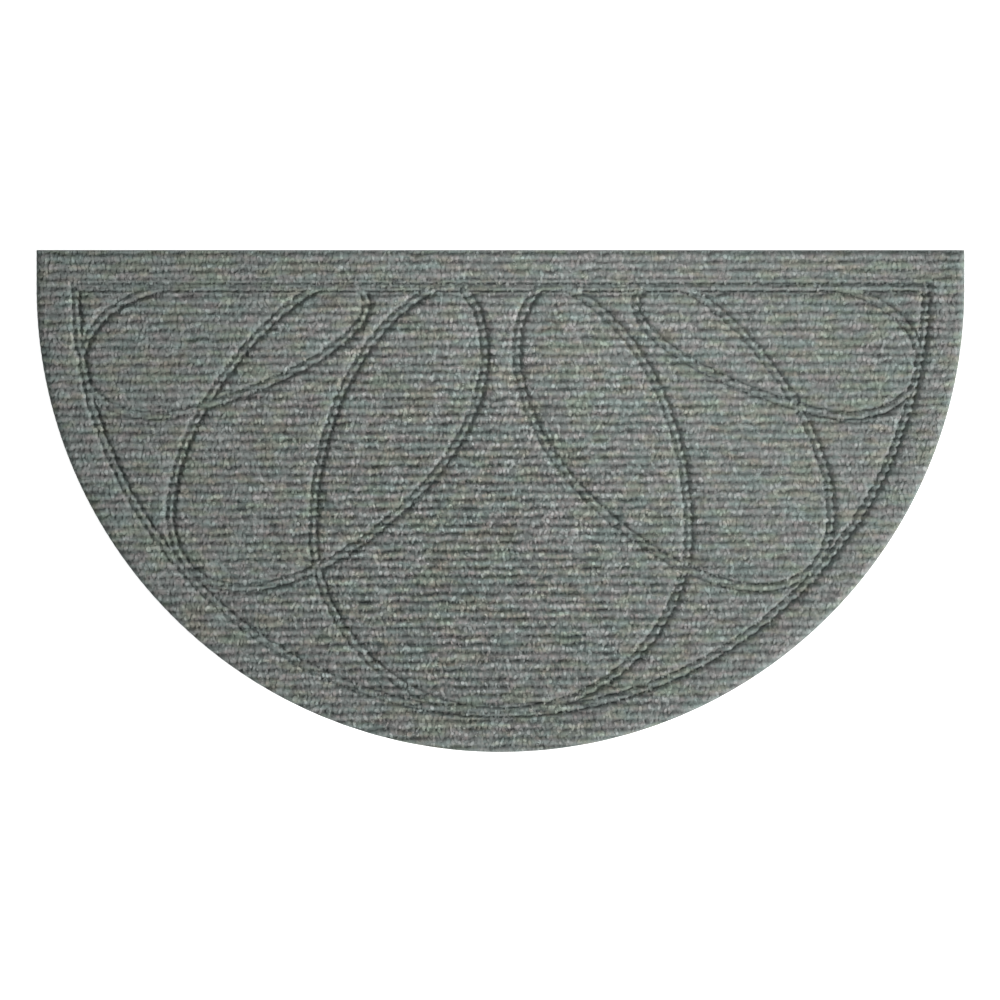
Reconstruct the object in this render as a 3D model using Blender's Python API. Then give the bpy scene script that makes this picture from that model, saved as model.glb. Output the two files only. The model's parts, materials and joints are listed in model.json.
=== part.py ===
"""Half round doormat, lying flat: one piece of thick needle-punched carpet.

The carpet is cut to a half circle with a short straight stretch before its straight edge, and its
rim rolls down a little to the cut. Ribs run along the straight edge. A heated plate has pressed
lines into the face: a half round border line, and five overlapping egg-shaped petals that open
like a fan and end at that line.

Frame: the origin is in the middle of the underside, +X runs along the straight edge, +Y points to
the straight edge, and +Z is up. Lengths are in metres.
"""

import bisect
import math

import bmesh
import bpy
import numpy as np

# Outline
WIDTH = 0.838
RADIUS = WIDTH / 2
STRAIGHT_STRETCH = 0.034  # from the half circle's own diameter to the straight edge
DEPTH = RADIUS + STRAIGHT_STRETCH
CENTRE_Y = DEPTH / 2 - STRAIGHT_STRETCH  # the half circle's centre

# Carpet
CREST_HEIGHT = 0.0075
VALLEY_HEIGHT = 0.0058
RIB_PITCH = 0.00768
RIM_WIDTH = 0.007  # along the cut edge the carpet rolls down over this width
RIM_DROP = 0.0015

# Pressed lines
BORDER_RADIUS = 0.384
LINE_HALF_WIDTH = 0.004
SHOULDER = 0.0065  # how far the carpet dips on each side of a pressed line
LINE_CREST_HEIGHT = 0.0040
LINE_VALLEY_HEIGHT = 0.0034
CREASE_DEPTH = 0.0006  # the sides of a pressed line lie this much lower than its middle

# Petals. An egg has two half lengths, one to its outer end and one to its inner end.
# centre_x and centre_y count from the half circle's centre, and tilt is the turn of the outer end
# down from +X, in degrees. A mirrored petal has a twin on the other side.
PETAL_COLUMNS = ("centre_x", "centre_y", "outer", "inner", "half_width", "tilt", "mirrored")
PETALS = (
    (0.0, -0.2188, 0.1640, 0.2340, 0.1697, 90.0, False),
    (0.1441, -0.1107, 0.1978, 0.1553, 0.1017, 46.7, True),
    (0.2991, -0.0566, 0.0814, 0.1829, 0.0567, 14.9, True),
)

# Mesh
SAMPLE_STEP = 0.0005
ROW_TOLERANCE = 0.00016  # how far a row's straight runs may leave the true height
ARC_STEP = 0.008
EDGE_CLEARANCE = 0.25  # of a row spacing, the least from a row to the outline beyond it
LONG_TRIANGLE_COST = 1e-6  # what a triangle's length counts beside its misfit
NEARLY_ZERO = 1e-6  # keeps the division at the middle of an egg from failing
CARPET_COLOR = (0.16, 0.18, 0.17, 1.0)
CARPET_ROUGHNESS = 0.95


def clear_scene():
    for old in list(bpy.data.objects):
        bpy.data.objects.remove(old, do_unlink=True)


def carpet_material():
    material = bpy.data.materials.new("ribbed_carpet")
    material.use_nodes = True
    shader = material.node_tree.nodes["Principled BSDF"]
    shader.inputs["Base Color"].default_value = CARPET_COLOR
    shader.inputs["Roughness"].default_value = CARPET_ROUGHNESS
    shader.inputs["Metallic"].default_value = 0.0
    return material


def all_petals():
    """The table's petals as dictionaries, with the twin of each mirrored one."""
    found = []
    for row in PETALS:
        petal = dict(zip(PETAL_COLUMNS, row))
        found.append(petal)
        if petal["mirrored"]:
            found.append({**petal, "centre_x": -petal["centre_x"], "tilt": 180 - petal["tilt"]})
    return found


def distance_to_border(x, y):
    """Below zero inside the half round border line, above zero outside it."""
    return np.maximum(np.hypot(x, y) - BORDER_RADIUS, y)


def distance_to_petal(petal, x, y):
    """Close to the true distance from the egg's outline, and zero on it."""
    turn = math.radians(-petal["tilt"])
    from_x, from_y = x - petal["centre_x"], y - petal["centre_y"]
    along = from_x * math.cos(turn) + from_y * math.sin(turn)
    across = from_y * math.cos(turn) - from_x * math.sin(turn)
    length = np.where(along > 0, petal["outer"], petal["inner"])
    width = petal["half_width"]
    ring = np.hypot(along / length, across / width)
    slope = np.hypot(along / length**2, across / width**2) / np.maximum(ring, NEARLY_ZERO)
    return np.abs(ring - 1) / np.maximum(slope, NEARLY_ZERO)


def distance_to_lines(x, y):
    """Distance to the nearest pressed line. The petals stop at the border line."""
    border = distance_to_border(x, y)
    nearest = np.abs(border)
    for petal in all_petals():
        from_petal = np.where(border < 0, distance_to_petal(petal, x, y), nearest)
        nearest = np.minimum(nearest, from_petal)
    return nearest


def distance_to_edge(x, y):
    """How far a point lies inside the cut edge."""
    beside_arc = RADIUS - np.where(y < 0, np.hypot(x, y), np.abs(x))
    return np.minimum(beside_arc, STRAIGHT_STRETCH - y)


def height(x, y):
    """Height of the carpet's face, where x and y count from the half circle's centre."""
    crest = (1 - np.cos(2 * math.pi * y / RIB_PITCH)) / 2
    free = VALLEY_HEIGHT + (CREST_HEIGHT - VALLEY_HEIGHT) * crest
    distance = distance_to_lines(x, y)
    dome = CREASE_DEPTH * np.clip(1 - distance / LINE_HALF_WIDTH, 0, 1)
    pressed = LINE_VALLEY_HEIGHT + (LINE_CREST_HEIGHT - LINE_VALLEY_HEIGHT) * crest
    pressed = pressed - CREASE_DEPTH + dome
    share = np.clip(1 - (distance - LINE_HALF_WIDTH) / SHOULDER, 0, 1)
    rim = np.clip(1 - distance_to_edge(x, y) / RIM_WIDTH, 0, 1)
    return free + (pressed - free) * share - RIM_DROP * rim**2


def half_chord(y):
    return RADIUS if y >= 0 else math.sqrt(RADIUS**2 - y**2)


def needed_points(x, z):
    """Indices of the points that keep straight runs within ROW_TOLERANCE of the heights z."""
    kept = [0, len(x) - 1]
    waiting = [(0, len(x) - 1)]
    while waiting:
        first, last = waiting.pop()
        if last - first < 2:
            continue
        inside = slice(first + 1, last)
        straight = np.interp(x[inside], (x[first], x[last]), (z[first], z[last]))
        error = np.abs(z[inside] - straight)
        worst = first + 1 + int(error.argmax())
        if error.max() > ROW_TOLERANCE:
            bisect.insort(kept, worst)
            waiting += [(first, worst), (worst, last)]
    return kept


def straight_row(y):
    """Points of the face along one rib crest or valley, from left to right."""
    end = half_chord(y)
    half_count = math.ceil(end / SAMPLE_STEP)
    x = np.linspace(-end, end, 2 * half_count + 1)
    z = height(x, np.full_like(x, y))
    kept = needed_points(x, z)
    return np.column_stack([x[kept], np.full(len(kept), y), z[kept]])


def arc_row(y):
    """Points along the outline's arc below the row at y, without that row's own ends."""
    half_angle = math.asin(half_chord(y) / RADIUS)
    steps = 2 * math.ceil(half_angle * RADIUS / ARC_STEP)
    angle = np.linspace(-half_angle, half_angle, steps + 1)[1:-1]
    x, y = RADIUS * np.sin(angle), -RADIUS * np.cos(angle)
    return np.column_stack([x, y, height(x, y)])


def face_rows():
    """Rows of points from the straight edge to the foot of the arc, two to each rib."""
    half_pitch = RIB_PITCH / 2
    highest = math.floor(STRAIGHT_STRETCH / half_pitch - EDGE_CLEARANCE)
    lowest = -math.floor(RADIUS / half_pitch - EDGE_CLEARANCE)
    levels = [STRAIGHT_STRETCH] + [k * half_pitch for k in range(highest, lowest - 1, -1)]
    return [straight_row(y) for y in levels] + [arc_row(levels[-1])]


def triangle_cost(a, b, c):
    """How badly flat triangles match the face, for arrays of corners."""
    middle = (a + b + c) / 3
    misfit = np.abs(height(middle[..., 0], middle[..., 1]) - middle[..., 2])
    side, other = b - a, c - a
    area = np.abs(side[..., 0] * other[..., 1] - side[..., 1] * other[..., 0]) / 2
    longest = np.maximum(np.linalg.norm(b - c, axis=-1), np.linalg.norm(other, axis=-1))
    return misfit * area + LONG_TRIANGLE_COST * longest * area


def strip_triangles(upper, lower):
    """The triangles between two rows that match the face best, as (row, index) corners."""
    top, low = upper[:, None, :], lower[None, :, :]
    along_top = triangle_cost(low, top[:-1], top[1:])
    along_low = triangle_cost(top, low[:, :-1], low[:, 1:])
    most_i, most_j = len(upper) - 1, len(lower) - 1
    best = np.full((most_i + 1, most_j + 1), math.inf)
    from_top = np.zeros(best.shape, bool)
    best[0, 0] = 0
    for i in range(most_i + 1):
        for j in range(most_j + 1):
            if i and best[i - 1, j] + along_top[i - 1, j] < best[i, j]:
                best[i, j] = best[i - 1, j] + along_top[i - 1, j]
                from_top[i, j] = True
            if j and best[i, j - 1] + along_low[i, j - 1] < best[i, j]:
                best[i, j] = best[i, j - 1] + along_low[i, j - 1]
                from_top[i, j] = False
    triangles = []
    i, j = most_i, most_j
    while i or j:
        if from_top[i, j]:
            triangles.append((("upper", i - 1), ("lower", j), ("upper", i)))
            i -= 1
        else:
            triangles.append((("upper", i), ("lower", j - 1), ("lower", j)))
            j -= 1
    return triangles


def mat_mesh():
    """The ribbed and pressed face, its cut edge and the flat underside, as one closed mesh."""
    shape = bmesh.new()
    rows = face_rows()
    row_points = []
    for row in rows:
        row_points.append([shape.verts.new((x, y + CENTRE_Y, z)) for x, y, z in row])
    for number in range(len(rows) - 1):
        points = {"upper": row_points[number], "lower": row_points[number + 1]}
        for corners in strip_triangles(rows[number], rows[number + 1]):
            shape.faces.new([points[row][index] for row, index in corners])

    rim = [edge for edge in shape.edges if edge.is_boundary]
    walls = bmesh.ops.extrude_edge_only(shape, edges=rim)["geom"]
    for point in (item for item in walls if isinstance(item, bmesh.types.BMVert)):
        point.co.z = 0.0
    foot = [edge for edge in shape.edges if edge.is_boundary]
    underside = bmesh.ops.contextual_create(shape, geom=foot)["faces"]
    bmesh.ops.triangulate(shape, faces=underside, ngon_method="BEAUTY")
    bmesh.ops.recalc_face_normals(shape, faces=shape.faces)

    mesh = bpy.data.meshes.new("ribbed_mat")
    shape.to_mesh(mesh)
    shape.free()
    return mesh


def main():
    clear_scene()
    mesh = mat_mesh()
    mesh.materials.append(carpet_material())
    mat = bpy.data.objects.new("ribbed_mat", mesh)
    bpy.context.scene.collection.objects.link(mat)
    print(f"ribbed_mat: {len(mesh.vertices)} points, {len(mesh.polygons)} faces")


main()
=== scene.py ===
# %% [markdown]
# # A half round doormat of ribbed carpet
#
# The real mat is one cut of thick needle-punched carpet. Forked needles push the dyed fibres up
# into soft ribs, and a heated plate then presses a border line and five overlapping petals into
# the face. This lesson dresses the plain solid of the mat in three steps: a fine carpet body, the
# fibre loops that lie over its ribs, and the heather colours of the fibre blend.

# %% Load the solid model as the frame
import bisect
import json
import math

import bmesh
import bpy
import numpy as np
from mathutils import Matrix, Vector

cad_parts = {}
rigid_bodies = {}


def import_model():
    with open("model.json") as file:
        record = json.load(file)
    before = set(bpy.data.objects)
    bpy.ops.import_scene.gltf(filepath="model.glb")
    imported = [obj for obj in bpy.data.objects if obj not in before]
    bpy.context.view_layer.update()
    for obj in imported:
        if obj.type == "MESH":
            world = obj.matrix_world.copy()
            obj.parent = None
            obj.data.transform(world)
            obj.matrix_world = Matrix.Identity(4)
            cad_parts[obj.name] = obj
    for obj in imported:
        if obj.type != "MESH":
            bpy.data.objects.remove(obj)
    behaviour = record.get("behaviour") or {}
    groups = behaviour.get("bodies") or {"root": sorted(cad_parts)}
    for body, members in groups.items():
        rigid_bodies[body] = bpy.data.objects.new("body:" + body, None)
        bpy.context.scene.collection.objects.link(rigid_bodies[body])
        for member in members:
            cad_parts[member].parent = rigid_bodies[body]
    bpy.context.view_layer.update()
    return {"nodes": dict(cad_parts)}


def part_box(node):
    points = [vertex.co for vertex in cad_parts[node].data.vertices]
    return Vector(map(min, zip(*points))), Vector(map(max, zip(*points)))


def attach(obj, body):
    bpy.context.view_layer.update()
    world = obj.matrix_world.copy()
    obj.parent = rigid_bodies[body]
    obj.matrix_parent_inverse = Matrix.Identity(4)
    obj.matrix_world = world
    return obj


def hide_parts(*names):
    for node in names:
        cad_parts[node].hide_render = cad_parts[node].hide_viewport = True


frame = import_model()
print("nodes in the frame:", list(frame["nodes"]))

# %% [markdown]
# ## Sizes
#
# The outline is a half circle with a short straight stretch before its straight edge. All of its
# sizes follow from the solid's box, so the fine carpet can't drift away from it. The ribs and the
# pressed lines run where the solid has them, which a box can't tell, so their sizes are given here
# again. The valleys and the cut edge lie a little deeper than in the solid, because the fibres
# fill them up, and a pressed line has a fuller middle between deeper creases. The table of petals
# is short: each petal is an egg with two half lengths, and the outer two have twins on the other
# side.

# %% Sizes of the outline, the ribs and the pressed lines
lowest_corner, highest_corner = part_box("ribbed_mat")
WIDTH = highest_corner[0] - lowest_corner[0]
RADIUS = WIDTH / 2
STRAIGHT_STRETCH = highest_corner[1] - lowest_corner[1] - RADIUS
CENTRE_Y = highest_corner[1] - STRAIGHT_STRETCH
CREST_HEIGHT = highest_corner[2]
VALLEY_HEIGHT = 0.0050
RIB_PITCH = 0.00768
RIM_WIDTH = 0.007
RIM_DROP = 0.0019
BORDER_RADIUS = 0.384
BORDER_TOP = 0.0006
LINE_HALF_WIDTH = 0.0035
SHOULDER = 0.0065
LINE_CREST_HEIGHT = 0.0063
LINE_VALLEY_HEIGHT = 0.0034
CREASE_DEPTH = 0.0022
PETAL_COLUMNS = ("centre_x", "centre_y", "outer", "inner", "half_width", "tilt", "mirrored")
PETALS = (
    (0.0, -0.2188, 0.1640, 0.2340, 0.1697, 90.0, False),
    (0.1441, -0.1107, 0.1978, 0.1553, 0.1017, 46.7, True),
    (0.2991, -0.0566, 0.0814, 0.1829, 0.0567, 14.9, True),
)
print(f"mat {WIDTH * 1000:.1f} mm wide, half circle's centre at y {CENTRE_Y * 1000:.1f} mm")

# %% [markdown]
# ## Where the pressed lines run
#
# A pressed line could be a curve that cuts the carpet with a Boolean, but a soft carpet has no
# sharp cuts. It is simpler and truer to ask, for any point of the face, how far the nearest line
# is. The height of the face, the colour in the creases and the lie of the fibres all follow from
# that one distance.

# %% Distances to the pressed lines and to the cut edge
NEARLY_ZERO = 1e-6


def all_petals():
    """The table's petals as dictionaries, with the twin of each mirrored one."""
    found = []
    for row in PETALS:
        petal = dict(zip(PETAL_COLUMNS, row))
        found.append(petal)
        if petal["mirrored"]:
            found.append({**petal, "centre_x": -petal["centre_x"], "tilt": 180 - petal["tilt"]})
    return found


def distance_to_border(x, y):
    """Below zero inside the half round border line, above zero outside it."""
    return np.maximum(np.hypot(x, y) - BORDER_RADIUS, y - BORDER_TOP)


def distance_to_petal(petal, x, y):
    """Close to the true distance from the egg's outline, and zero on it."""
    turn = math.radians(-petal["tilt"])
    from_x, from_y = x - petal["centre_x"], y - petal["centre_y"]
    along = from_x * math.cos(turn) + from_y * math.sin(turn)
    across = from_y * math.cos(turn) - from_x * math.sin(turn)
    length = np.where(along > 0, petal["outer"], petal["inner"])
    width = petal["half_width"]
    ring = np.hypot(along / length, across / width)
    slope = np.hypot(along / length**2, across / width**2) / np.maximum(ring, NEARLY_ZERO)
    return np.abs(ring - 1) / np.maximum(slope, NEARLY_ZERO)


def distance_to_lines(x, y):
    """Distance to the nearest pressed line. The petals stop at the border line."""
    border = distance_to_border(x, y)
    nearest = np.abs(border)
    for petal in all_petals():
        from_petal = np.where(border < 0, distance_to_petal(petal, x, y), nearest)
        nearest = np.minimum(nearest, from_petal)
    return nearest


def distance_to_edge(x, y):
    """How far a point lies inside the cut edge."""
    beside_arc = RADIUS - np.where(y < 0, np.hypot(x, y), np.abs(x))
    return np.minimum(beside_arc, STRAIGHT_STRETCH - y)


print("petals:", len(all_petals()))

# %% [markdown]
# ## The height of the face
#
# Real carpet is never as even as a formula. A few long waves in random directions, added up, make
# a smooth uneven field. One such field bends the ribs a little, one makes them fuller or thinner,
# one lifts and sinks the face, and one lets the pressed lines wander. Each has a fixed seed, so
# the mat comes out the same every time.

# %% Smooth uneven fields
WAVES_IN_A_FIELD = 9


def uneven_field(seed, size):
    """A function of x and y with smooth bumps about this size, mostly between -1 and 1."""
    chance = np.random.default_rng(seed)
    direction = chance.uniform(0, math.pi, WAVES_IN_A_FIELD)
    wave_length = size * chance.uniform(1.3, 3.0, WAVES_IN_A_FIELD)
    phase = chance.uniform(0, 2 * math.pi, WAVES_IN_A_FIELD)
    turns_x = 2 * math.pi * np.cos(direction) / wave_length
    turns_y = 2 * math.pi * np.sin(direction) / wave_length

    def field(x, y):
        total = np.zeros(np.shape(x))
        for step_x, step_y, start in zip(turns_x, turns_y, phase):
            total += np.cos(x * step_x + y * step_y + start)
        return total / math.sqrt(2 * WAVES_IN_A_FIELD)

    return field


rib_sway = uneven_field(seed=3, size=0.012)
rib_fullness = uneven_field(seed=5, size=0.012)
face_swell = uneven_field(seed=8, size=0.016)
line_wander = uneven_field(seed=13, size=0.006)
print("sway at the middle:", round(float(rib_sway(0.0, 0.0)), 3))

# %% [markdown]
# The profile across a pressed line has a low domed floor, a narrow crease on each side of it, a
# steep wall and a soft round shoulder. Where a line runs across the ribs, they lie in it as short
# rungs with deep pits between them, which gives the line its look of a twisted rope. The ribs
# stand highest in the middle of the large petal and are trodden flatter towards the corners and
# the right side, and the lines are shallower on the left. The ribs also run a little askew, as on
# any mat cut from a roll. Along the cut edge the face rolls down.

# %% Height of the face
RIB_SWAY = 0.0010
RIB_OFFSET = 0.0010
RIB_TILT = 0.0025
VALLEY_POWER = 1.5
FACE_SWELL = 0.00022
LINE_WANDER = 0.0006
CROSSING_STEP = 0.0005
SHOULDER_POWER = 4.5
PIT_POWER = 2.0
SHALLOW_LINE = 0.65
SHALLOW_SPAN = (-0.40, -0.05)
RIM_POWER = 2.2
LEAST_HEIGHT = 0.0018
LEAST_RIB = 0.55
RIB_CHANGE = 0.3
FULL_RIB_CENTRE = (-0.03, -0.24)
FULL_RIB_SPREAD = (0.15, 0.15)


def rise(value, span):
    """0 before the span, 1 after it and straight between."""
    return np.clip((value - span[0]) / (span[1] - span[0]), 0, 1)


def line_distance(x, y):
    return np.abs(distance_to_lines(x, y) + LINE_WANDER * line_wander(x, y))


def pressed_share(distance, power=SHOULDER_POWER):
    """1 on a pressed line's floor, and less up its walls and shoulders."""
    beyond = np.clip((distance - LINE_HALF_WIDTH) / SHOULDER, 0, 1)
    return (1 - beyond) ** power


def line_strength(x):
    """How deep the lines are pressed, as a share of their full depth."""
    return SHALLOW_LINE + (1 - SHALLOW_LINE) * rise(x, SHALLOW_SPAN)


def crossing(x, y):
    """1 where the nearest line runs straight across the ribs, 0 where it runs along them."""
    here = line_distance(x, y)
    before = np.abs(here - line_distance(x - CROSSING_STEP, y))
    after = np.abs(here - line_distance(x + CROSSING_STEP, y))
    return np.clip(np.maximum(before, after) / CROSSING_STEP, 0, 1)


def rib_wave(x, y):
    """0 in a valley between two ribs and 1 on a crest."""
    across = y - RIB_OFFSET - RIB_TILT * x + RIB_SWAY * rib_sway(x, y)
    return (1 - np.cos(2 * math.pi * across / RIB_PITCH)) / 2


def rib_strength(x, y):
    """How high the ribs stand, as a share of their full height."""
    from_x = (x - FULL_RIB_CENTRE[0]) / FULL_RIB_SPREAD[0]
    from_y = (y - FULL_RIB_CENTRE[1]) / FULL_RIB_SPREAD[1]
    full = np.exp(-(from_x**2 + from_y**2) / 2)
    strength = LEAST_RIB + (1 - LEAST_RIB) * full
    return strength * (1 + RIB_CHANGE * rib_fullness(x, y))


def face_height(x, y):
    """Height of the carpet body's face, where x and y count from the half circle's centre."""
    wave = rib_wave(x, y)
    valley = (1 - wave) ** VALLEY_POWER * rib_strength(x, y)
    free = CREST_HEIGHT - (CREST_HEIGHT - VALLEY_HEIGHT) * valley
    free = free + FACE_SWELL * face_swell(x, y)
    distance = line_distance(x, y)
    depth = line_strength(x)
    sunk = CREASE_DEPTH * np.clip(distance / LINE_HALF_WIDTH, 0, 1) ** 2
    floor_level = np.minimum(LINE_CREST_HEIGHT, free) - sunk * depth
    dropped = free + (floor_level - free) * pressed_share(distance)
    pit = (LINE_CREST_HEIGHT - LINE_VALLEY_HEIGHT) * (1 - wave) * crossing(x, y) * depth
    dropped = dropped - pit * pressed_share(distance, PIT_POWER)
    rim = np.clip(1 - distance_to_edge(x, y) / RIM_WIDTH, 0, 1)
    return np.maximum(dropped - RIM_DROP * rim**RIM_POWER, LEAST_HEIGHT)


crest_y = RIB_PITCH / 2 - 20 * RIB_PITCH
print(f"a crest is {face_height(0.0, crest_y) * 1000:.2f} mm high")

# %% [markdown]
# ## The carpet body
#
# The body could be a grid with a Displace modifier, but an even grid wastes most of its faces on
# stretches where nothing happens. Here it is made of rows along the ribs, ten to a rib. Along
# each row a point is kept only where a straight run would leave the true height, so the points
# gather at the pressed lines. Neighbouring rows are then closed like a zip.

# %% Rows of points across the face
ROW_STEP = RIB_PITCH / 10
SAMPLE_STEP = 0.0004
ROW_TOLERANCE = 0.00015
ARC_STEP = 0.003
EDGE_CLEARANCE = 0.3


def half_chord(y):
    return RADIUS if y >= 0 else math.sqrt(RADIUS**2 - y**2)


def needed_points(x, z):
    """Indices of the points that keep straight runs within ROW_TOLERANCE of the heights z."""
    kept = [0, len(x) - 1]
    waiting = [(0, len(x) - 1)]
    while waiting:
        first, last = waiting.pop()
        if last - first < 2:
            continue
        inside = slice(first + 1, last)
        straight = np.interp(x[inside], (x[first], x[last]), (z[first], z[last]))
        error = np.abs(z[inside] - straight)
        worst = first + 1 + int(error.argmax())
        if error.max() > ROW_TOLERANCE:
            bisect.insort(kept, worst)
            waiting += [(first, worst), (worst, last)]
    return kept


def straight_row(y):
    """Points of the face along one line beside the ribs, from left to right."""
    end = half_chord(y)
    half_count = math.ceil(end / SAMPLE_STEP)
    x = np.linspace(-end, end, 2 * half_count + 1)
    z = face_height(x, np.full_like(x, y))
    kept = needed_points(x, z)
    return np.column_stack([x[kept], np.full(len(kept), y), z[kept]])


def arc_row(y):
    """Points along the outline's arc below the row at y, without that row's own ends."""
    half_angle = math.asin(half_chord(y) / RADIUS)
    steps = 2 * math.ceil(half_angle * RADIUS / ARC_STEP)
    angle = np.linspace(-half_angle, half_angle, steps + 1)[1:-1]
    x, y = RADIUS * np.sin(angle), -RADIUS * np.cos(angle)
    return np.column_stack([x, y, face_height(x, y)])


highest_row = math.floor(STRAIGHT_STRETCH / ROW_STEP - EDGE_CLEARANCE)
lowest_row = -math.floor(RADIUS / ROW_STEP - EDGE_CLEARANCE)
levels = [STRAIGHT_STRETCH] + [k * ROW_STEP for k in range(highest_row, lowest_row - 1, -1)]
face_rows = [straight_row(y) for y in levels] + [arc_row(levels[-1])]
print(f"{len(face_rows)} rows with {sum(map(len, face_rows))} points")

# %% [markdown]
# Two neighbouring rows have different numbers of points, so no even grid of squares fits between
# them. A zip does: it steps along whichever row has the next point on the left, and closes one
# triangle at each step.

# %% Zip the rows into one face
def zip_rows(upper, lower, first_upper, first_lower):
    """Triangles between two rows, stepping along the row whose next point comes first."""
    i = j = 0
    last_i, last_j = len(upper) - 1, len(lower) - 1
    found = []
    while i < last_i or j < last_j:
        if j == last_j or (i < last_i and upper[i + 1, 0] <= lower[j + 1, 0]):
            found.append((first_upper + i, first_lower + j, first_upper + i + 1))
            i += 1
        else:
            found.append((first_upper + i, first_lower + j, first_lower + j + 1))
            j += 1
    return found


row_starts = np.cumsum([0] + [len(row) for row in face_rows])
face_points = np.concatenate(face_rows)
face_triangles = []
for number in range(len(face_rows) - 1):
    face_triangles += zip_rows(*face_rows[number : number + 2], *row_starts[number : number + 2])
print(f"face of {len(face_triangles)} triangles")

# %% [markdown]
# The cut edge goes round the face once. It is listed anticlockwise seen from above, and then
# repeated at lower heights with a slight bulge, because cut carpet swells a little at its side.
# The last ring lies on the floor and is closed with a flat underside. Nothing shows under the
# real mat, so the underside stays plain.

# %% The cut edge and the underside
SIDE_LEVELS = ((0.66, 0.0004), (0.30, 0.0005), (0.0, -0.0002))

upper_edge = list(range(row_starts[1] - 1, row_starts[0] - 1, -1))
left_ends = [int(start) for start in row_starts[1:-2]]
lower_edge = list(range(row_starts[-2], row_starts[-1]))
right_ends = [int(start) - 1 for start in row_starts[-2:1:-1]]
cut_edge = np.array(upper_edge + left_ends + lower_edge + right_ends)

edge_points = face_points[cut_edge]
edge_run = np.roll(edge_points, -1, axis=0) - np.roll(edge_points, 1, axis=0)
outward = np.column_stack([edge_run[:, 1], -edge_run[:, 0]])
outward /= np.linalg.norm(outward, axis=1)[:, None]

rings = [cut_edge]
all_points = [face_points]
next_index = len(face_points)
for height_share, bulge in SIDE_LEVELS:
    ring_points = edge_points.copy()
    ring_points[:, :2] += outward * bulge
    ring_points[:, 2] *= height_share
    all_points.append(ring_points)
    rings.append(np.arange(next_index, next_index + len(cut_edge)))
    next_index += len(cut_edge)

side_faces = []
for upper_ring, lower_ring in zip(rings, rings[1:]):
    sides = [upper_ring, lower_ring, np.roll(lower_ring, -1), np.roll(upper_ring, -1)]
    side_faces += np.column_stack(sides).tolist()
underside_face = rings[-1][::-1].tolist()
print(f"cut edge of {len(cut_edge)} points, {len(side_faces)} side faces")

# %% [markdown]
# A map for baking is laid out by plain rules: the face on the lower half of the square, the
# underside on the upper half, and the side as one narrow strip beside them. Five point
# attributes go with the mesh, because the colours and the fibres need them: how far a point is
# pressed, how much painted shade it gets in a valley, pit or crease, where shade falls, how worn it
# is, how sparse the loops are there, and how much room they have before the cut edge.

# %% Build the carpet body
MAP_SCALE = 0.9 / WIDTH
MAP_MARGIN = 0.005
SIDE_STRIP = (0.92, 0.99)
CREASE_WIDTH = 0.0010
# painted shade: how far the colour darkens in valleys, pits and creases, where shade falls
VALLEY_PAINTED_SHADE = 0.75
PIT_PAINTED_SHADE = 0.65
CREASE_PAINTED_SHADE = 1.0
CREASE_SPARSE = 0.8
CREASE_FILLED = 0.6
VALLEY_SHARPNESS = 3
LEAST_ROOM = 0.15
ROOM_AT_RIM = (0.0002, 0.0026)
TEAL_RIM = (0.0020, 0.0040)


def map_corners():
    """The bake map's place of each face corner, in the order of the faces."""
    face_corners = face_points[np.array(face_triangles).ravel(), :2]
    on_face = (face_corners + [RADIUS, RADIUS]) * MAP_SCALE + MAP_MARGIN
    shares = np.array([1.0] + [share for share, _ in SIDE_LEVELS])
    across = np.interp(shares, (0, 1), SIDE_STRIP)
    count = len(cut_edge)
    along = np.arange(count + 1) / count
    on_side = []
    for upper, lower in zip(across, across[1:]):
        places = [(upper, along[:-1]), (lower, along[:-1]), (lower, along[1:]), (upper, along[1:])]
        corners = [np.column_stack([np.full(count, u), v]) for u, v in places]
        on_side.append(np.stack(corners, axis=1).reshape(-1, 2))
    ring_points = all_points[-1][::-1, :2]
    on_underside = (ring_points + [RADIUS, RADIUS]) * MAP_SCALE + [MAP_MARGIN, 0.5 + MAP_MARGIN]
    return np.concatenate([on_face, *on_side, on_underside])


def carpet_body_mesh():
    mesh = bpy.data.meshes.new("carpet_body")
    points = np.concatenate(all_points)
    x, y = points[:, 0], points[:, 1]
    distance = line_distance(x, y)
    pressed = pressed_share(distance)
    crease = np.exp(-(((distance - LINE_HALF_WIDTH) / CREASE_WIDTH) ** 2))
    strength = rib_strength(x, y)
    valley = (1 - rib_wave(x, y)) ** VALLEY_SHARPNESS
    across = crossing(x, y)
    crease = crease * (1 - CREASE_FILLED * across) * line_strength(x)
    # painted shade in the pits, valleys and creases, kept as a point attribute for the colours
    pit_painted_shade = PIT_PAINTED_SHADE * pressed_share(distance, PIT_POWER) * across * line_strength(x)
    valley_painted_shade = np.maximum(VALLEY_PAINTED_SHADE * strength, pit_painted_shade) * valley
    deep = np.maximum(valley_painted_shade, CREASE_PAINTED_SHADE * crease)
    pressed = np.maximum(pressed, 1 - rise(distance_to_edge(x, y), TEAL_RIM))
    worn = np.clip((1 - strength) / (1 - LEAST_RIB), 0, 1)
    sparse = CREASE_SPARSE * crease
    room = LEAST_ROOM + (1 - LEAST_ROOM) * rise(distance_to_edge(x, y), ROOM_AT_RIM)
    layers = {"pressed": pressed, "deep": deep, "worn": worn, "sparse": sparse, "room": room}
    for values in layers.values():
        values[len(face_points) :] = 0
    placed = points + [0, CENTRE_Y, 0]
    mesh.from_pydata(placed.tolist(), [], face_triangles + side_faces + [underside_face])
    for name, values in layers.items():
        attribute = mesh.attributes.new(name, "FLOAT", "POINT")
        attribute.data.foreach_set("value", values.astype(np.float32))
    layer = mesh.uv_layers.new(name="OFBake")
    layer.data.foreach_set("uv", map_corners().astype(np.float32).ravel())
    return mesh


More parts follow.
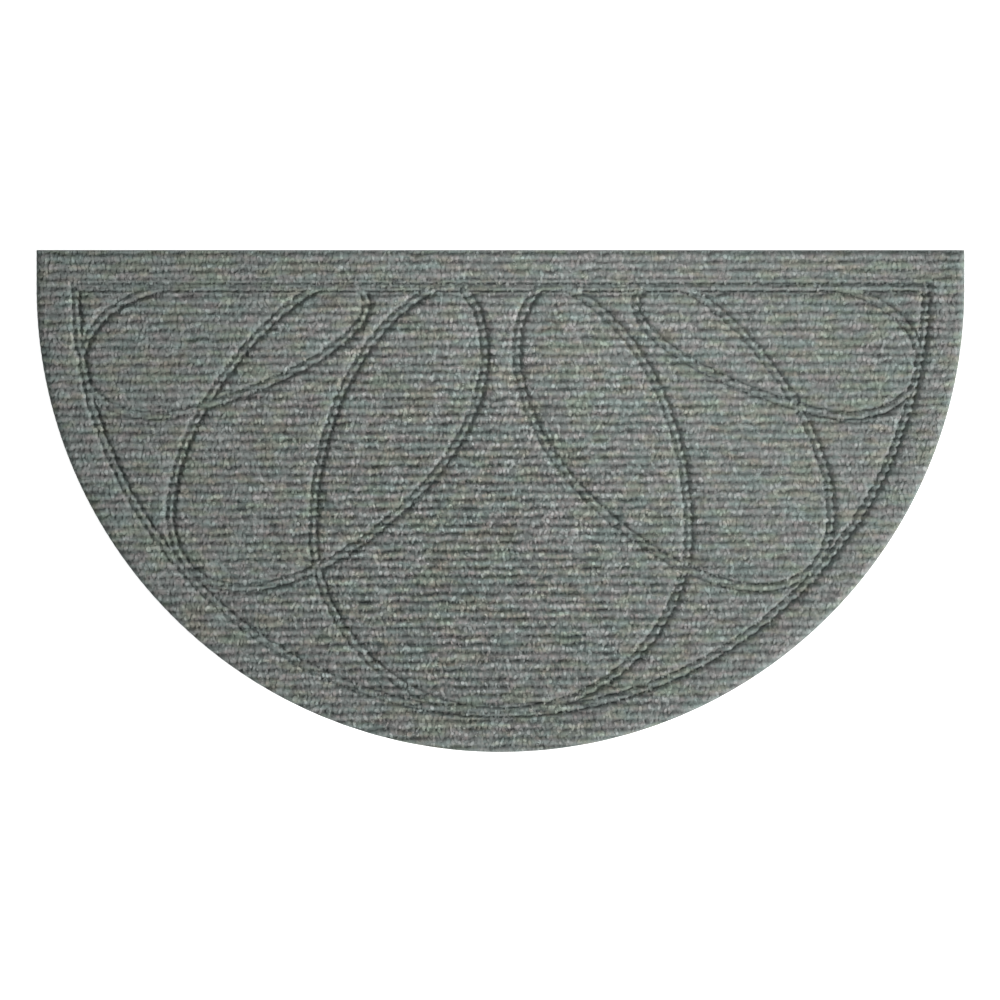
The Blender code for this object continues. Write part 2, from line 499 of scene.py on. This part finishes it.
def close_underside(mesh):
    """Splits the one large face of the underside into triangles with the second finish, and smooths
    all faces but these.
    """
    shape = bmesh.new()
    shape.from_mesh(mesh)
    shape.faces.ensure_lookup_table()
    underside = [shape.faces[-1]]
    split = bmesh.ops.triangulate(shape, faces=underside, ngon_method="BEAUTY")["faces"]
    for face in shape.faces:
        face.smooth = True
    for face in split:
        face.material_index = 1
        face.smooth = False
    shape.to_mesh(mesh)
    shape.free()


body_mesh = carpet_body_mesh()
close_underside(body_mesh)
carpet_body = bpy.data.objects.new("carpet_body", body_mesh)
bpy.context.scene.collection.objects.link(carpet_body)
print(f"carpet_body: {len(body_mesh.vertices)} points, {len(body_mesh.polygons)} faces")

# %% [markdown]
# ## A helper for node trees
#
# Both the finishes and the fibres are node trees that are built here in code. One small helper
# places a node, sets what it does, and feeds each of its inputs with a value or with another
# node's socket. With it a tree reads like a recipe.

# %% Place nodes and feed them
def place(tree, kind, inputs=None, **settings):
    """Adds a node. An input's value is a number, a colour, an object or another socket."""
    node = tree.nodes.new(kind)
    for name, value in settings.items():
        setattr(node, name, value)
    for name, value in (inputs or {}).items():
        if isinstance(value, bpy.types.NodeSocket):
            tree.links.new(value, node.inputs[name])
        else:
            node.inputs[name].default_value = value
    return node


def calculate(tree, operation, first, second=0.0):
    """The result of one Math node."""
    return place(tree, "ShaderNodeMath", {0: first, 1: second}, operation=operation).outputs[0]


def declare(tree, inputs, outputs):
    """Gives a tree its named inputs, with their kinds and usual values, and its outputs."""
    for name, kind, value in inputs:
        socket = tree.interface.new_socket(name, in_out="INPUT", socket_type=kind)
        if value is not None:
            socket.default_value = value
    for name, kind in outputs:
        tree.interface.new_socket(name, in_out="OUTPUT", socket_type=kind)
    return tree.nodes.new("NodeGroupInput").outputs, tree.nodes.new("NodeGroupOutput").inputs


print("helpers ready")

# %% [markdown]
# ## The heather blend
#
# Heather carpet is spun from fibres of several dyed colours that are mixed before they are
# punched, so it shows soft patches that lean to olive, rose or teal, and fine flecks all over.
# Every fibre colour shares those effects, so they are one group, built once: it brings the colours
# closer together where the carpet is worn, tints them with patches drawn out along the ribs,
# lightens or darkens them per lock of fibres, and darkens them with painted shade in the creases,
# pits and valleys, where shade falls. The shader itself stays in each finish.

# %% Shader group for the heather blend
PRESSED_TEAL = 0.6
WORN_BLEND = 0.5
# painted shade: the colour darkens by this share where a point lies fully in painted shade
PAINTED_SHADE_DARKNESS = 0.85
heather = bpy.data.node_groups.new("heather_blend", "ShaderNodeTree")
given, made = declare(
    heather,
    [
        ("Fibre colour", "NodeSocketColor", (0.2, 0.22, 0.21, 1)),
        ("Worn colour", "NodeSocketColor", (0.268, 0.292, 0.280, 1)),
        ("Olive tint", "NodeSocketColor", (1.02, 1.02, 0.90, 1)),
        ("Rose tint", "NodeSocketColor", (1.08, 0.98, 0.99, 1)),
        ("Teal tint", "NodeSocketColor", (0.92, 1.02, 1.00, 1)),
        ("Patch strength", "NodeSocketFloat", 1.0),
        ("Fleck strength", "NodeSocketFloat", 0.35),
        ("Lock shade", "NodeSocketFloat", 0.5),
        ("Pressed", "NodeSocketFloat", 0.0),
        ("Painted shade", "NodeSocketFloat", 0.0),
        ("Worn", "NodeSocketFloat", 0.0),
    ],
    [
        ("Colour", "NodeSocketColor"),
        ("Roughness", "NodeSocketFloat"),
        ("Height", "NodeSocketFloat"),
    ],
)


def stretched_noise(tree, size_x, size_y, offset, detail=2.0):
    """A noise whose patches are this long and this wide, read in the mat's own coordinates."""
    where = place(tree, "ShaderNodeTexCoord").outputs["Object"]
    scale = (1 / size_x, 1 / size_y, 1 / size_y)
    settings = {"Vector": where, "Scale": scale, "Location": (offset, offset, 0)}
    mapped = place(tree, "ShaderNodeMapping", settings)
    noise = {"Vector": mapped.outputs[0], "Scale": 1.0, "Detail": detail}
    return place(tree, "ShaderNodeTexNoise", noise).outputs["Fac"]


def between(tree, value, low, high):
    """0 below low, 1 above high."""
    settings = {"Value": value, "From Min": low, "From Max": high}
    return place(tree, "ShaderNodeMapRange", settings).outputs["Result"]


def tinted(tree, colour, tint, share):
    """The colour, multiplied by the tint as far as the share says."""
    settings = {0: share, 6: colour, 7: tint}
    return place(
        tree, "ShaderNodeMix", settings, data_type="RGBA", blend_type="MULTIPLY"
    ).outputs[2]


olive_patches = between(heather, stretched_noise(heather, 0.024, 0.011, 3.0), 0.48, 0.62)
rose_patches = between(heather, stretched_noise(heather, 0.020, 0.009, 29.0), 0.46, 0.62)
teal_patches = between(heather, stretched_noise(heather, 0.030, 0.012, 17.0), 0.48, 0.62)
olive_share = calculate(heather, "MULTIPLY", olive_patches, given["Patch strength"])
rose_share = calculate(heather, "MULTIPLY", rose_patches, given["Patch strength"])
teal_share = calculate(heather, "MULTIPLY", teal_patches, given["Patch strength"])
pressed_teal = calculate(heather, "MULTIPLY", given["Pressed"], PRESSED_TEAL)
teal_share = calculate(heather, "MAXIMUM", teal_share, pressed_teal)
worn_share = calculate(heather, "MULTIPLY", given["Worn"], WORN_BLEND)
worn = {0: worn_share, 6: given["Fibre colour"], 7: given["Worn colour"]}
colour = place(heather, "ShaderNodeMix", worn, data_type="RGBA").outputs[2]
colour = tinted(heather, colour, given["Olive tint"], olive_share)
colour = tinted(heather, colour, given["Rose tint"], rose_share)
colour = tinted(heather, colour, given["Teal tint"], teal_share)

flecks = stretched_noise(heather, 0.0018, 0.0026, 5.0, detail=2.0)
fleck_light = calculate(heather, "SUBTRACT", flecks, 0.5)
fleck_light = calculate(heather, "MULTIPLY", fleck_light, given["Fleck strength"])
lock_light = calculate(heather, "SUBTRACT", given["Lock shade"], 0.5)
light = calculate(heather, "ADD", fleck_light, lock_light)
light = calculate(heather, "ADD", light, 1.0)
# painted shade: darker in the creases, pits and valleys
painted_shade_factor = calculate(heather, "MULTIPLY", given["Painted shade"], PAINTED_SHADE_DARKNESS)
painted_shade_factor = calculate(heather, "SUBTRACT", 1.0, painted_shade_factor)
light = calculate(heather, "MULTIPLY", light, painted_shade_factor)
scaled = {0: colour, "Scale": light}
lit_colour = place(heather, "ShaderNodeVectorMath", scaled, operation="SCALE").outputs[0]
fibre_grain = stretched_noise(heather, 0.0005, 0.0012, 9.0, detail=2.0)
heather.links.new(lit_colour, made["Colour"])
heather.links.new(fibre_grain, made["Height"])
heather.links.new(between(heather, flecks, -2.5, 1.0), made["Roughness"])
print("heather_blend has", len(heather.nodes), "nodes")

# %% [markdown]
# Under the locks the carpet is a dense felt of the same fibres, and it shows in the creases and
# along the cut edge. It is coloured darker than the blend of the locks, partly as painted shade in
# the gaps between them. The locks could share one finish with a random colour, but each dye has its
# own, so one function makes them all: a matt shader with little gloss and a faint sheen, fed by
# the heather group, and a fine grain as bump, because single fibres are far too small to model.

# %% Finishes for the carpet body and its underside
FIBRE_GLOSS = 0.25
FIBRE_SHEEN = 0.12
SHEEN_ROUGHNESS = 0.5
GRAIN_STRENGTH = 0.6


def point_value(tree, name):
    """A point attribute of the mesh, read by a material."""
    return place(tree, "ShaderNodeAttribute", attribute_name=name).outputs["Fac"]


def carpet_finish(name, colour, fleck_strength, grain_depth, lock_shade=0.5, patches=1.0):
    """A matt fibre finish in one colour of the heather blend."""
    finish = bpy.data.materials.new(name)
    finish.use_nodes = True
    tree = finish.node_tree
    shader = tree.nodes["Principled BSDF"]
    shader.inputs["Specular IOR Level"].default_value = FIBRE_GLOSS
    shader.inputs["Sheen Weight"].default_value = FIBRE_SHEEN
    shader.inputs["Sheen Roughness"].default_value = SHEEN_ROUGHNESS
    settings = {
        "Fibre colour": (*colour, 1),
        "Fleck strength": fleck_strength,
        "Patch strength": patches,
        "Lock shade": lock_shade if isinstance(lock_shade, float) else lock_shade(tree),
        "Pressed": point_value(tree, "pressed"),
        # painted shade of the creases, pits and valleys, read from the mesh
        "Painted shade": point_value(tree, "deep"),
        "Worn": point_value(tree, "worn"),
    }
    blend = place(tree, "ShaderNodeGroup", node_tree=heather)
    for socket, value in settings.items():
        if isinstance(value, bpy.types.NodeSocket):
            tree.links.new(value, blend.inputs[socket])
        else:
            blend.inputs[socket].default_value = value
    grain = {"Height": blend.outputs["Height"], "Distance": grain_depth}
    bump = place(tree, "ShaderNodeBump", {**grain, "Strength": GRAIN_STRENGTH})
    tree.links.new(blend.outputs["Colour"], shader.inputs["Base Color"])
    tree.links.new(blend.outputs["Roughness"], shader.inputs["Roughness"])
    tree.links.new(bump.outputs["Normal"], shader.inputs["Normal"])
    return finish


# painted shade: the felt is darker than the locks, so the gaps between them read as shade
felt_finish = carpet_finish("carpet_felt", (0.215, 0.238, 0.228), 0.9, 0.0003)
underside_finish = carpet_finish("plain_underside", (0.060, 0.064, 0.062), 0.3, 0.0003, patches=0.0)
body_mesh.materials.append(felt_finish)
body_mesh.materials.append(underside_finish)
print("finishes:", [finish.name for finish in body_mesh.materials])

# %% [markdown]
# ## The fibre loops
#
# Each stroke of the needles lifts a small lock of fibres, which lies like an arch across its rib.
# There are tens of thousands of them, so they are made by Geometry Nodes. A grid has one row of
# points for each crest and one for each valley, and chance moves each point. Rays sent straight
# down find the carpet there: there are fewer loops in a crease, and smaller ones at the cut edge.
# A lock is a three-sided spindle of eighteen triangles. All of them are laid flat first, and once
# they are real geometry every point is set on the carpet below it, so that a lock bends over its
# rib by itself.
#
# One tree serves every fibre colour. The same chance number decides the colour of each point, and
# each colour takes its own share of the numbers, so the colours fill the ribs together without
# two locks on one point. A slow noise is added to the number, and so the colours gather in
# patches, as they do in real heather yarn.

# %% Geometry Nodes tree for the fibre loops
RAY_HEIGHT = 0.05
RAY_LENGTH = 0.1


def ray_down(tree, carpet, where, attribute=None):
    """A ray from above the mat to the carpet, which can read an attribute where it lands."""
    parts = place(tree, "ShaderNodeSeparateXYZ", {0: where}).outputs
    start = place(tree, "ShaderNodeCombineXYZ", {0: parts[0], 1: parts[1], 2: RAY_HEIGHT})
    inputs = {
        "Target Geometry": carpet,
        "Source Position": start.outputs[0],
        "Ray Direction": (0.0, 0.0, -1.0),
        "Ray Length": RAY_LENGTH,
    }
    if attribute:
        named = place(tree, "GeometryNodeInputNamedAttribute", {"Name": attribute})
        inputs["Attribute"] = named.outputs["Attribute"]
    return place(tree, "GeometryNodeRaycast", inputs, data_type="FLOAT").outputs


def chance(tree, low, high, seed):
    """A random number for each point."""
    inputs = {2: low, 3: high, "Seed": seed}
    return place(tree, "FunctionNodeRandomValue", inputs, data_type="FLOAT").outputs[1]


def compare(tree, operation, first, second):
    inputs = {0: first, 1: second}
    return place(
        tree, "FunctionNodeCompare", inputs, data_type="FLOAT", operation=operation
    ).outputs[0]


def combine(tree, x, y, z):
    return place(tree, "ShaderNodeCombineXYZ", {0: x, 1: y, 2: z}).outputs[0]


def either(tree, first, second):
    inputs = {0: first, 1: second}
    return place(tree, "FunctionNodeBooleanMath", inputs, operation="OR").outputs[0]


def keep_value(tree, geometry, name, value, domain="POINT", data_type="FLOAT"):
    inputs = {"Geometry": geometry, "Name": name, "Value": value}
    settings = {"domain": domain, "data_type": data_type}
    return place(tree, "GeometryNodeStoreNamedAttribute", inputs, **settings).outputs[0]


def lock_shape(tree, given):
    """A three-sided spindle that lies along Y on one of its edges, with its own small bake map."""
    ball = place(tree, "GeometryNodeMeshUVSphere", {"Segments": 3, "Rings": 4, "Radius": 0.5})
    mapped = keep_value(
        tree, ball.outputs["Mesh"], "OFBake", ball.outputs["UV Map"], "CORNER", "FLOAT2"
    )
    size = combine(tree, given["Lock thickness"], given["Lock width"], given["Lock length"])
    turn = (math.pi / 2, math.pi / 2, 0)
    lying = {"Geometry": mapped, "Rotation": turn, "Scale": size}
    return place(tree, "GeometryNodeTransform", lying).outputs[0]


def settle_on_carpet(tree, geometry, carpet, given):
    """Sets every point of the flat-lying locks on the carpet below it."""
    where = place(tree, "GeometryNodeInputPosition").outputs[0]
    parts = place(tree, "ShaderNodeSeparateXYZ", {0: where}).outputs
    landed = ray_down(tree, carpet, where, "pressed")
    ground = place(tree, "ShaderNodeSeparateXYZ", {0: landed["Hit Position"]}).outputs[2]
    flattened = calculate(tree, "MULTIPLY", landed["Attribute"], given["Flattening"])
    stand = calculate(tree, "ADD", parts[2], given["Lift"])
    stand = calculate(tree, "MULTIPLY", stand, calculate(tree, "SUBTRACT", 1.0, flattened))
    on_carpet = calculate(tree, "ADD", ground, stand)
    over_edge = calculate(tree, "ADD", given["Edge height"], parts[2])
    choice = {0: landed["Is Hit"], 1: over_edge, 2: on_carpet}
    height = place(tree, "GeometryNodeSwitch", choice, input_type="FLOAT").outputs[0]
    moved = {"Geometry": geometry, "Position": combine(tree, parts[0], parts[1], height)}
    return place(tree, "GeometryNodeSetPosition", moved).outputs[0]


def spread_bake_map(tree, geometry, given):
    """Gives each lock its own cell of the bake map."""
    named = {"Name": "OFBake"}
    own = place(tree, "GeometryNodeInputNamedAttribute", named, data_type="FLOAT_VECTOR")
    number = place(tree, "GeometryNodeInputNamedAttribute", {"Name": "lock_number"})
    columns = given["Map columns"]
    column = calculate(tree, "FLOORED_MODULO", number.outputs[0], columns)
    row = calculate(tree, "FLOOR", calculate(tree, "DIVIDE", number.outputs[0], columns))
    inner = {0: own.outputs[0], 1: (0.9, 0.9, 0.0), 2: combine(tree, column, row, 0.0)}
    cell = place(tree, "ShaderNodeVectorMath", inner, operation="MULTIPLY_ADD").outputs[0]
    shrunk = {0: cell, "Scale": calculate(tree, "DIVIDE", 1.0, columns)}
    place_on_map = place(tree, "ShaderNodeVectorMath", shrunk, operation="SCALE").outputs[0]
    return keep_value(tree, geometry, "OFBake", place_on_map, "CORNER", "FLOAT2")


LOOP_INPUTS = [
    ("Carpet", "NodeSocketObject", None),
    ("Row length", "NodeSocketFloat", 0.85),
    ("Rows", "NodeSocketInt", 60),
    ("Row spacing", "NodeSocketFloat", 0.00768),
    ("Middle of rows", "NodeSocketFloat", 0.0),
    ("Locks in a row", "NodeSocketInt", 700),
    ("Jitter along", "NodeSocketFloat", 0.0006),
    ("Jitter across", "NodeSocketFloat", 0.0009),
    ("Lock length", "NodeSocketFloat", 0.0058),
    ("Lock width", "NodeSocketFloat", 0.0015),
    ("Lock thickness", "NodeSocketFloat", 0.0012),
    ("Size chance", "NodeSocketFloat", 0.25),
    ("Lean", "NodeSocketFloat", 0.6),
    ("Lift", "NodeSocketFloat", 0.0002),
    ("Stand", "NodeSocketFloat", 0.0008),
    ("Flattening", "NodeSocketFloat", 0.6),
    ("Edge height", "NodeSocketFloat", 0.003),
    ("Patchiness", "NodeSocketFloat", 1.0),
    ("Patch length", "NodeSocketFloat", 0.030),
    ("Patch width", "NodeSocketFloat", 0.011),
    ("First share", "NodeSocketFloat", 0.0),
    ("Last share", "NodeSocketFloat", 1.0),
    ("Map columns", "NodeSocketFloat", 110.0),
    ("Seed", "NodeSocketInt", 1),
    ("Finish", "NodeSocketMaterial", None),
]


def loop_tree():
    tree = bpy.data.node_groups.new("carpet_loops", "GeometryNodeTree")
    given, made = declare(tree, LOOP_INPUTS, [("Geometry", "NodeSocketGeometry")])
    source = {"Object": given["Carpet"]}
    carpet = place(
        tree, "GeometryNodeObjectInfo", source, transform_space="RELATIVE"
    ).outputs["Geometry"]

    steps = calculate(tree, "SUBTRACT", given["Rows"], 1.0)
    grid = {
        "Size X": given["Row length"],
        "Size Y": calculate(tree, "MULTIPLY", steps, given["Row spacing"]),
        "Vertices X": given["Locks in a row"],
        "Vertices Y": given["Rows"],
    }
    points = place(tree, "GeometryNodeMeshGrid", grid).outputs["Mesh"]
    seed = given["Seed"]
    seeds = [calculate(tree, "ADD", seed, float(step)) for step in range(8)]
    shift_x = calculate(tree, "MULTIPLY", chance(tree, -1.0, 1.0, seeds[0]), given["Jitter along"])
    shift_y = calculate(tree, "MULTIPLY", chance(tree, -1.0, 1.0, seeds[1]), given["Jitter across"])
    shift_y = calculate(tree, "ADD", shift_y, given["Middle of rows"])
    stand = calculate(tree, "MULTIPLY", chance(tree, 0.0, 1.0, seeds[2]), given["Stand"])
    moved = {"Geometry": points, "Offset": combine(tree, shift_x, shift_y, stand)}
    points = place(tree, "GeometryNodeSetPosition", moved).outputs[0]

    where = place(tree, "GeometryNodeInputPosition").outputs[0]
    stretch = combine(
        tree,
        calculate(tree, "DIVIDE", 1.0, given["Patch length"]),
        calculate(tree, "DIVIDE", 1.0, given["Patch width"]),
        1.0,
    )
    stretched = place(tree, "ShaderNodeVectorMath", {0: where, 1: stretch}, operation="MULTIPLY")
    cloud = {"Vector": stretched.outputs[0], "Scale": 1.0, "Detail": 1.0}
    patch = place(tree, "ShaderNodeTexNoise", cloud).outputs[0]
    patch = calculate(tree, "SUBTRACT", patch, 0.5)
    patch = calculate(tree, "MULTIPLY", patch, given["Patchiness"])
    draw = calculate(tree, "ADD", chance(tree, 0.0, 1.0, seeds[3]), patch)
    landed = ray_down(tree, carpet, where, "sparse")
    missed = place(tree, "FunctionNodeBooleanMath", {0: landed["Is Hit"]}, operation="NOT")
    unwanted = either(
        tree,
        compare(tree, "LESS_THAN", draw, given["First share"]),
        compare(tree, "GREATER_EQUAL", draw, given["Last share"]),
    )
    cleared = compare(tree, "LESS_THAN", chance(tree, 0.0, 1.0, seeds[4]), landed["Attribute"])
    unwanted = either(tree, unwanted, cleared)
    unwanted = either(tree, unwanted, missed.outputs[0])
    chosen = {"Geometry": points, "Selection": unwanted}
    points = place(tree, "GeometryNodeDeleteGeometry", chosen, domain="POINT").outputs[0]
    points = place(tree, "GeometryNodeMeshToPoints", {"Mesh": points}).outputs[0]

    number = place(tree, "GeometryNodeInputIndex").outputs[0]
    points = keep_value(tree, points, "lock_number", number)
    points = keep_value(tree, points, "shade", chance(tree, 0.0, 1.0, seeds[5]))
    lean = calculate(tree, "MULTIPLY", chance(tree, -1.0, 1.0, seeds[6]), given["Lean"])
    smallest = calculate(tree, "SUBTRACT", 1.0, given["Size chance"])
    largest = calculate(tree, "ADD", 1.0, given["Size chance"])
    sizes = {"Seed": seeds[7]}
    sizes[0] = combine(tree, smallest, smallest, smallest)
    sizes[1] = combine(tree, largest, largest, largest)
    sized = place(tree, "FunctionNodeRandomValue", sizes, data_type="FLOAT_VECTOR").outputs[0]
    where = place(tree, "GeometryNodeInputPosition").outputs[0]
    room = ray_down(tree, carpet, where, "room")["Attribute"]
    fitted = place(tree, "ShaderNodeVectorMath", {0: sized, "Scale": room}, operation="SCALE")
    copies = {
        "Points": points,
        "Instance": lock_shape(tree, given),
        "Rotation": combine(tree, 0.0, 0.0, lean),
        "Scale": fitted.outputs[0],
    }
    locks = place(tree, "GeometryNodeInstanceOnPoints", copies).outputs[0]
    locks = place(tree, "GeometryNodeRealizeInstances", {"Geometry": locks}).outputs[0]
    locks = settle_on_carpet(tree, locks, carpet, given)
    # the locks take the pressing, the painted shade and the wear of the carpet below them
    for name in ("pressed", "deep", "worn"):
        where = place(tree, "GeometryNodeInputPosition").outputs[0]
        locks = keep_value(tree, locks, name, ray_down(tree, carpet, where, name)["Attribute"])
    locks = spread_bake_map(tree, locks, given)
    finished = {"Geometry": locks, "Material": given["Finish"]}
    locks = place(tree, "GeometryNodeSetMaterial", finished).outputs[0]
    tree.links.new(locks, made["Geometry"])
    return tree


carpet_loops = loop_tree()
print("carpet_loops has", len(carpet_loops.nodes), "nodes")

# %% [markdown]
# A tree runs as a modifier. Its inputs are set by the identifiers of their sockets, because names
# may repeat. The evaluated result is kept as a plain mesh, and the modifier goes.

# %% Run a tree and keep its mesh
def grow(name, tree, values):
    """A piece at the origin, made by a tree of Geometry Nodes."""
    start = bpy.data.meshes.new(name + "_start")
    piece = bpy.data.objects.new(name, start)
    bpy.context.scene.collection.objects.link(piece)
    modifier = piece.modifiers.new(name, "NODES")
    modifier.node_group = tree
    for item in tree.interface.items_tree:
        if item.in_out == "INPUT" and item.name in values:
            modifier[item.identifier] = values[item.name]
    graph = bpy.context.evaluated_depsgraph_get()
    grown = piece.evaluated_get(graph)
    mesh = bpy.data.meshes.new_from_object(grown, preserve_all_data_layers=True, depsgraph=graph)
    piece.modifiers.clear()
    piece.data = mesh
    mesh.name = name
    bpy.data.meshes.remove(start)
    triangles = sum(len(face.vertices) - 2 for face in mesh.polygons)
    print(f"{name}: {triangles} triangles")
    return piece


# %% [markdown]
# ## Five colours of locks
#
# The blend of this mat is mostly slate, in a darker and a lighter dye, with charcoal, taupe and a
# pale grey that gives the flecks. The shares are the parts of the blend in hundredths.

# %% Grow the locks in the colours of the blend
LOCK_SPACING = 0.0023
LOCK_POINTS = 11
DARKEST_LOCK = 0.38
LIGHTEST_LOCK = 0.62
BELOW_ALL_DRAWS = -10.0
ABOVE_ALL_DRAWS = 10.0
BLEND = (
    ("charcoal_locks", 0.12, (0.125, 0.140, 0.134)),
    ("dark_slate_locks", 0.23, (0.198, 0.220, 0.212)),
    ("slate_locks", 0.25, (0.270, 0.295, 0.284)),
    ("taupe_locks", 0.20, (0.315, 0.317, 0.302)),
    ("pale_locks", 0.20, (0.430, 0.462, 0.448)),
)


def lock_shade(tree):
    """Each lock's own chance number, drawn in around the middle."""
    own = point_value(tree, "shade")
    drawn_in = {"Value": own, "To Min": DARKEST_LOCK, "To Max": LIGHTEST_LOCK}
    return place(tree, "ShaderNodeMapRange", drawn_in).outputs["Result"]


HALF_PITCH = RIB_PITCH / 2
first_row = -math.ceil(RADIUS / HALF_PITCH)
last_row = math.ceil(STRAIGHT_STRETCH / HALF_PITCH)
loop_sizes = {
    "Carpet": carpet_body,
    "Row length": WIDTH,
    "Rows": last_row - first_row + 1,
    "Row spacing": HALF_PITCH,
    "Middle of rows": CENTRE_Y + (first_row + last_row) / 2 * HALF_PITCH,
    "Locks in a row": round(WIDTH / LOCK_SPACING),
    "Jitter along": 0.0022,
    "Jitter across": 0.0019,
    "Lock length": 0.0046,
    "Lock width": 0.0030,
    "Lock thickness": 0.0010,
    "Stand": 0.0004,
    "Flattening": 0.2,
    "Size chance": 0.35,
    "Lean": 0.6,
    "Lift": 0.0001,
    "Seed": 21,
}
pile = []
share_so_far = 0.0
for name, share, colour in BLEND:
    finish = carpet_finish(name.replace("locks", "fibre"), colour, 0.2, 0.00015, lock_shade)
    values = dict(loop_sizes)
    values["First share"] = BELOW_ALL_DRAWS if share_so_far == 0 else share_so_far
    share_so_far += share
    values["Last share"] = ABOVE_ALL_DRAWS if name == BLEND[-1][0] else share_so_far
    values["Finish"] = finish
    pile.append(grow(name, carpet_loops, values))
print("locks:", sum(len(piece.data.vertices) for piece in pile) // LOCK_POINTS)

# %% [markdown]
# ## Joining the frame
# Every piece rides on the one body of the mat. The carpet body stands for the plain solid, which is
# hidden. It is cloth.

# %% Ride and replace
for piece in [carpet_body, *pile]:
    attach(piece, "root")
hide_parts("ribbed_mat")

# %% [markdown]
# ## Floor, light and camera
#
# The mat lies on an evenly lit white table, as used for product pictures with a white ground: its
# own glow takes most of the shadow away. One large soft light stands low on the right, a little
# towards the round side, and brings out the relief. A second one hangs above the right of the
# middle, from where the light falls off towards the left and the round side. A pale surround
# fills the shade.

# %% Stage the floor and the light
FLOOR_SIZE = 14.0
KEY_PLACE = (4.6, -2.1, 2.7)
KEY_SIZE = 1.6
KEY_POWER = 400.0
TOP_PLACE = (0.10, 0.14, 0.50)
TOP_SIZE = 0.4
TOP_POWER = 1.15
FLOOR_GLOW = 0.88
SURROUND_POWER = 0.13


def glowing_floor():
    finish = bpy.data.materials.new("white_table")
    finish.use_nodes = True
    shader = finish.node_tree.nodes["Principled BSDF"]
    shader.inputs["Base Color"].default_value = (0.86, 0.86, 0.86, 1)
    shader.inputs["Roughness"].default_value = 0.7
    shader.inputs["Emission Color"].default_value = (1, 1, 1, 1)
    shader.inputs["Emission Strength"].default_value = FLOOR_GLOW
    mesh = bpy.data.meshes.new("floor")
    half = FLOOR_SIZE / 2
    corners = [(-half, -half, 0), (half, -half, 0), (half, half, 0), (-half, half, 0)]
    mesh.from_pydata(corners, [], [(0, 1, 2, 3)])
    mesh.materials.append(finish)
    return bpy.data.objects.new("floor", mesh)


def soft_light(name, place_of_light, size, power):
    lamp = bpy.data.lights.new(name, "AREA")
    lamp.shape = "DISK"
    lamp.size = size
    lamp.energy = power
    light = bpy.data.objects.new(name, lamp)
    light.location = place_of_light
    light.rotation_euler = (-light.location).to_track_quat("-Z", "Y").to_euler()
    light.visible_camera = False
    bpy.context.scene.collection.objects.link(light)
    return light


floor = glowing_floor()
bpy.context.scene.collection.objects.link(floor)
soft_light("key_light", KEY_PLACE, KEY_SIZE, KEY_POWER)
soft_light("top_light", TOP_PLACE, TOP_SIZE, TOP_POWER)
surround = bpy.data.worlds.new("pale_surround")
surround.use_nodes = True
surround.node_tree.nodes["Background"].inputs["Color"].default_value = (0.95, 0.98, 1.0, 1)
surround.node_tree.nodes["Background"].inputs["Strength"].default_value = SURROUND_POWER
bpy.context.scene.world = surround
bpy.context.scene.view_settings.view_transform = "Standard"
print("stage:", floor.name)

# %% [markdown]
# The picture was taken from straight above. A flat camera without perspective would come close,
# but a long lens from far away keeps the slight perspective of a real one, and its height follows
# from how wide the picture is at the level of the mat's rim.

# %% The camera straight above
PICTURE_WIDTH = 0.90302
RIM_LEVEL = 0.006
LENS = 120.0
SENSOR = 36.0
PICTURE_MIDDLE = (-0.0005, 0.0010)

camera_data = bpy.data.cameras.new("camera")
camera_data.lens = LENS
camera_data.sensor_width = SENSOR
camera = bpy.data.objects.new("camera", camera_data)
camera.location = (*PICTURE_MIDDLE, PICTURE_WIDTH * LENS / SENSOR + RIM_LEVEL)
bpy.context.scene.collection.objects.link(camera)
bpy.context.scene.camera = camera
print(f"camera {camera.location.z:.2f} m above the floor")
